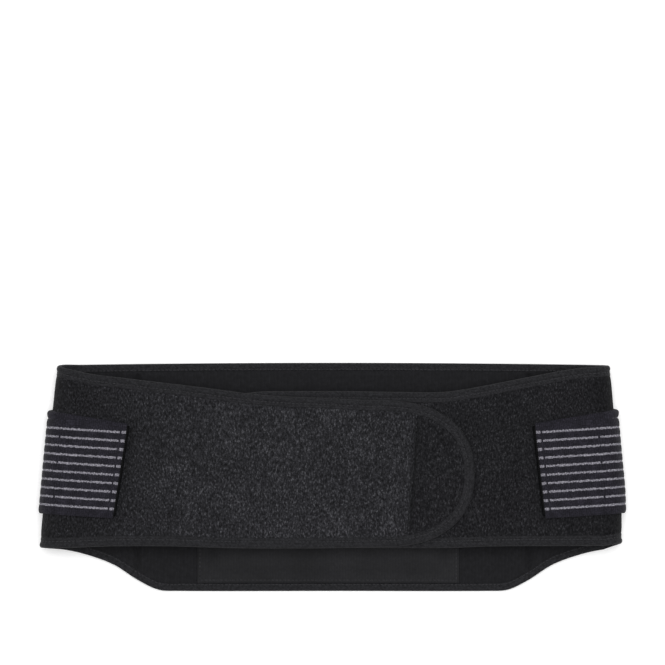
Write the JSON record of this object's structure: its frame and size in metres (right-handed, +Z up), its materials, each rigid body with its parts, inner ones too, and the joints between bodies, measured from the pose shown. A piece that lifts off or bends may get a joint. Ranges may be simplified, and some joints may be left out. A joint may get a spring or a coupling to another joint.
{
  "type": "maternity support belt",
  "caption": "Contoured back-support belt, fastened round: plush wings with a rounded hook-and-loop tab, striped elastic side straps and a gel pack pocket on the back panel.",
  "frame": {"origin": "centre of the belt's bounding box on the surface that it lies on, under the middle of the back panel", "axes": "+X across the belt from the left side fold to the right one in the picture, +Y towards the waist edge, +Z up from the surface, from the back panel towards the front"},
  "size_m": [0.452, 0.1762, 0.0423],
  "materials": {
    "plush_loop": "brushed loop plush laminated to thin foam, speckled near-black grey, fully matte",
    "binding_tape": "smooth knitted folding tape, stitched along its inner edge, matte",
    "striped_webbing": "ribbed elastic webbing, near-black ribs with narrow mid-grey stripes, matte",
    "hook_tape": "black nylon hook tape, slightly glossy",
    "pocket_cloth": "smooth stretch knit, matte"
  },
  "bodies": {
    "root": {"back_panel": "plush_loop", "back_top_binding": "binding_tape", "back_lower_binding": "binding_tape", "gel_pocket": "pocket_cloth", "left_wing": "plush_loop", "closure_tab": "plush_loop", "left_wing_binding": "binding_tape", "closure_hook": "hook_tape", "right_wing": "plush_loop", "right_wing_binding": "binding_tape", "left_strap": "striped_webbing", "left_strap_hook": "hook_tape", "right_strap": "striped_webbing", "right_strap_hook": "hook_tape"}
  },
  "joints": []
}
